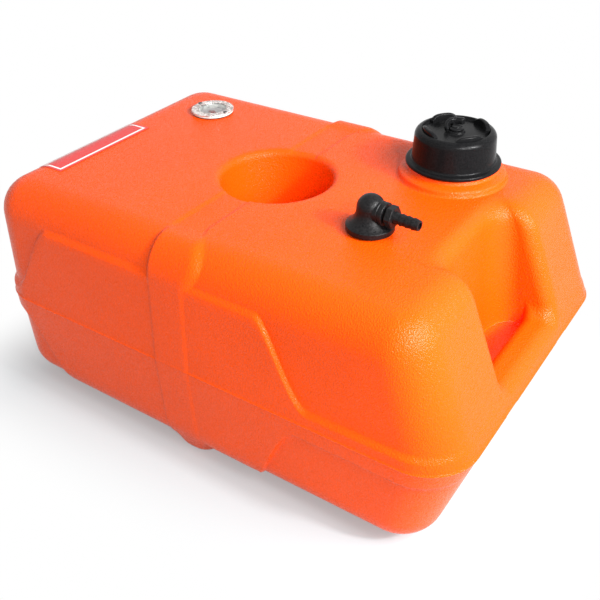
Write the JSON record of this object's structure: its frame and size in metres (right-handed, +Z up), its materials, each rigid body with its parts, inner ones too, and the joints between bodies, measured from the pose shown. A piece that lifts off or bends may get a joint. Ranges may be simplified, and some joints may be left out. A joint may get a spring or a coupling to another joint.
{
  "type": "portable outboard fuel tank",
  "caption": "Portable moulded fuel tank with a hand bar, round well, screw cap with a vent, elbow pick-up with a barbed hose tail and a float gauge.",
  "frame": {"origin": "middle of the bounding box's bottom face, on the surface that the tank stands on", "axes": "+X towards the hand bar, along the long side; +Z up; +Y towards the side with the filler cap"},
  "size_m": [0.4998, 0.332, 0.2766],
  "materials": {
    "orange_plastic": "fine pebble grain, orange-red",
    "black_plastic": "glossy black",
    "satin_plastic": "satin black",
    "seal_rubber": "matt black",
    "brass_insert": "plain brass",
    "white_plastic": "natural white",
    "bright_ring": "bright rim",
    "clear_lens": "clear plastic",
    "grey_dial": "plain grey",
    "red_pointer": "red",
    "screw_steel": "plain steel",
    "float_foam": "closed-cell foam, matt black"
  },
  "bodies": {
    "tank": {"tank_shell": "orange_plastic", "pickup_elbow": "satin_plastic", "pickup_gasket": "seal_rubber", "pickup_insert": "brass_insert", "hose_tail": "satin_plastic", "tail_seal": "seal_rubber", "dip_tube": "white_plastic", "dip_strainer": "white_plastic", "gauge_housing": "white_plastic", "gauge_gasket": "seal_rubber", "gauge_bezel": "bright_ring", "gauge_lens": "clear_lens", "gauge_dial": "grey_dial", "gauge_screw_right": "screw_steel", "gauge_screw_left": "screw_steel", "guide_rod_near": "screw_steel", "guide_rod_back": "screw_steel", "guide_foot": "white_plastic"},
    "seal_ring": {"cap_gasket": "seal_rubber"},
    "cap": {"filler_cap": "black_plastic", "vent_baffle": "satin_plastic"},
    "vent_washer": {"vent_seal": "seal_rubber"},
    "vent_knob": {"vent_screw": "black_plastic"},
    "float_unit": {"float": "float_foam", "float_follower": "white_plastic"},
    "pointer_unit": {"gauge_pointer": "red_pointer", "gauge_stem": "brass_insert"}
  },
  "joints": [
    {"name": "cap_lift", "type": "slide", "parent": "tank", "child": "seal_ring", "axis": [0, 0, 1], "range_m": [0, 0.0092]},
    {"name": "cap_turn", "type": "hinge", "parent": "seal_ring", "child": "cap", "pos_m": [0.118, 0.087, 0.25], "axis": [0, 0, 1], "range_deg": [0, 540]},
    {"name": "vent_lift", "type": "slide", "parent": "cap", "child": "vent_washer", "axis": [0, 0, 1], "range_m": [0, 0.002]},
    {"name": "vent_turn", "type": "hinge", "parent": "vent_washer", "child": "vent_knob", "pos_m": [0.118, 0.087, 0.27], "axis": [0, 0, 1], "range_deg": [0, 360]},
    {"name": "float_rise", "type": "slide", "parent": "tank", "child": "float_unit", "axis": [0, 0, 1], "range_m": [0, 0.15]},
    {"name": "pointer_turn", "type": "hinge", "parent": "tank", "child": "pointer_unit", "pos_m": [-0.166, 0.088, 0.22], "axis": [0, 0, 1], "range_deg": [-235, 0]}
  ],
  "couplings": [
    {"joint": "cap_lift", "follows": "cap_turn", "m_per_rad": 0.0009549},
    {"joint": "vent_turn", "follows": "vent_lift", "rad_per_m": 3141.6},
    {"joint": "pointer_turn", "follows": "float_rise", "rad_per_m": -27.053}
  ]
}
